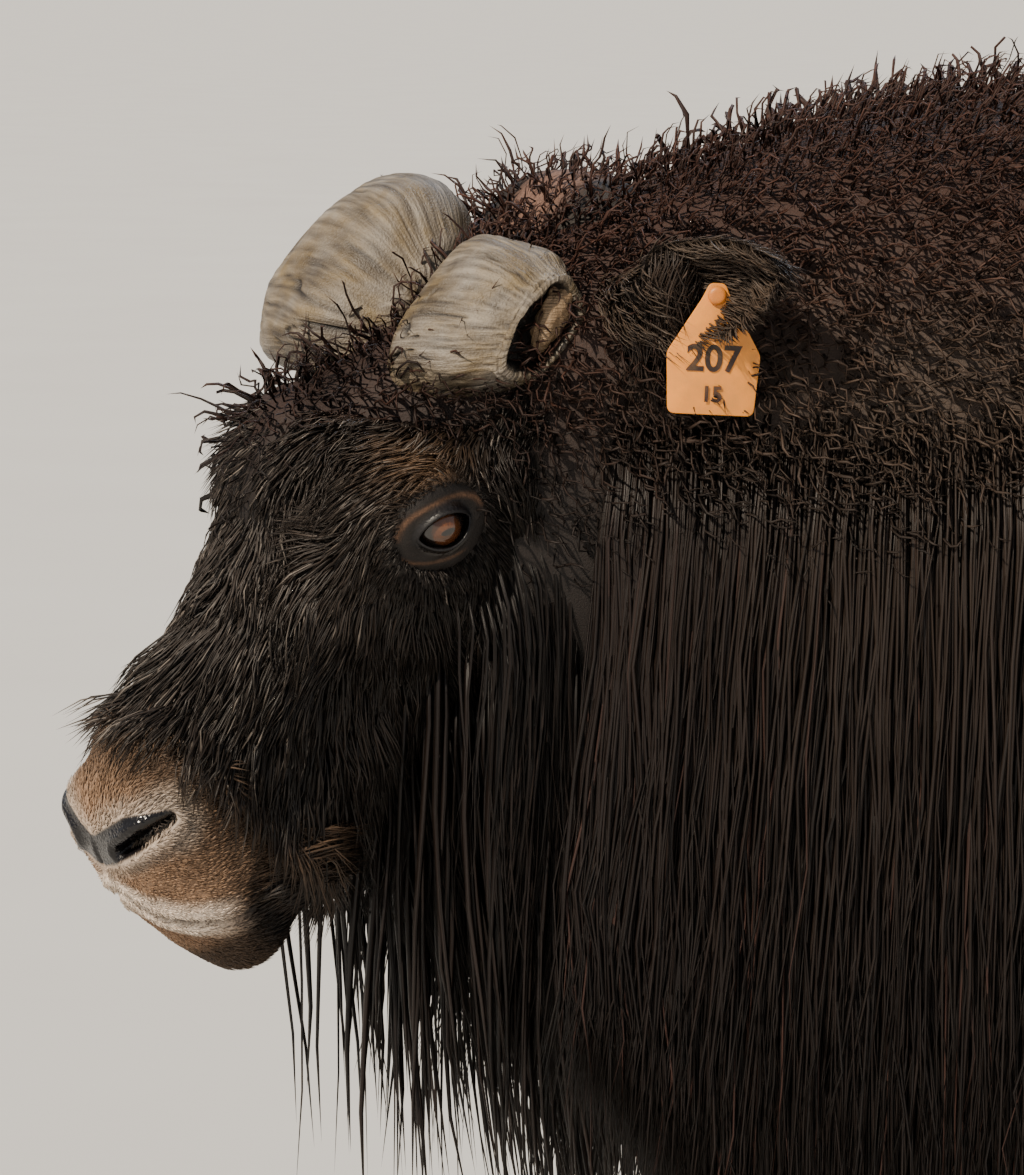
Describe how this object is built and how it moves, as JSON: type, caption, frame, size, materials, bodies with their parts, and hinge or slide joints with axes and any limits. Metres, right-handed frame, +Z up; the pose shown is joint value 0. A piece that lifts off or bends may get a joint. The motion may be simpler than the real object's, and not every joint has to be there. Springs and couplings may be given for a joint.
{
  "type": "muskox",
  "caption": "Life-size still model of a standing muskox with a long hanging coat, cut-back horn bosses, a lowered head turned to its left and a plain tag in its left ear.",
  "frame": {"origin": "on the floor, under the middle of the animal's overall box", "axes": "+Z up; the animal faces -Y and its left side is +X"},
  "size_m": [0.717, 1.9566, 1.237],
  "materials": {
    "guard_hair": "long, dark brown, slightly glossy guard hair",
    "face_hair": "short grey-brown face and ear hair",
    "leg_hair": "short pale hair",
    "hoof": "dark horn, satin",
    "horn": "dry, cracked, matt horn",
    "eye": "polished dark amber",
    "tag_plastic": "smooth orange-yellow plastic",
    "stud_plastic": "smooth orange plastic"
  },
  "bodies": {
    "root": {"head": "face_hair", "ear_left": "face_hair", "ear_right": "face_hair", "neck": "guard_hair", "shoulder_left": "guard_hair", "shoulder_right": "guard_hair", "flank_left": "guard_hair", "flank_right": "guard_hair", "rump_left": "guard_hair", "rump_right": "guard_hair", "tail": "guard_hair", "leg_front_left": "leg_hair", "leg_front_right": "leg_hair", "leg_rear_left": "leg_hair", "leg_rear_right": "leg_hair", "hoof_front_left_outer": "hoof", "hoof_front_left_inner": "hoof", "hoof_front_right_outer": "hoof", "hoof_front_right_inner": "hoof", "hoof_rear_left_outer": "hoof", "hoof_rear_left_inner": "hoof", "hoof_rear_right_outer": "hoof", "hoof_rear_right_inner": "hoof", "horn_left": "horn", "horn_right": "horn", "eye_left": "eye", "eye_right": "eye", "ear_tag": "tag_plastic", "ear_tag_stud": "stud_plastic"}
  },
  "joints": []
}
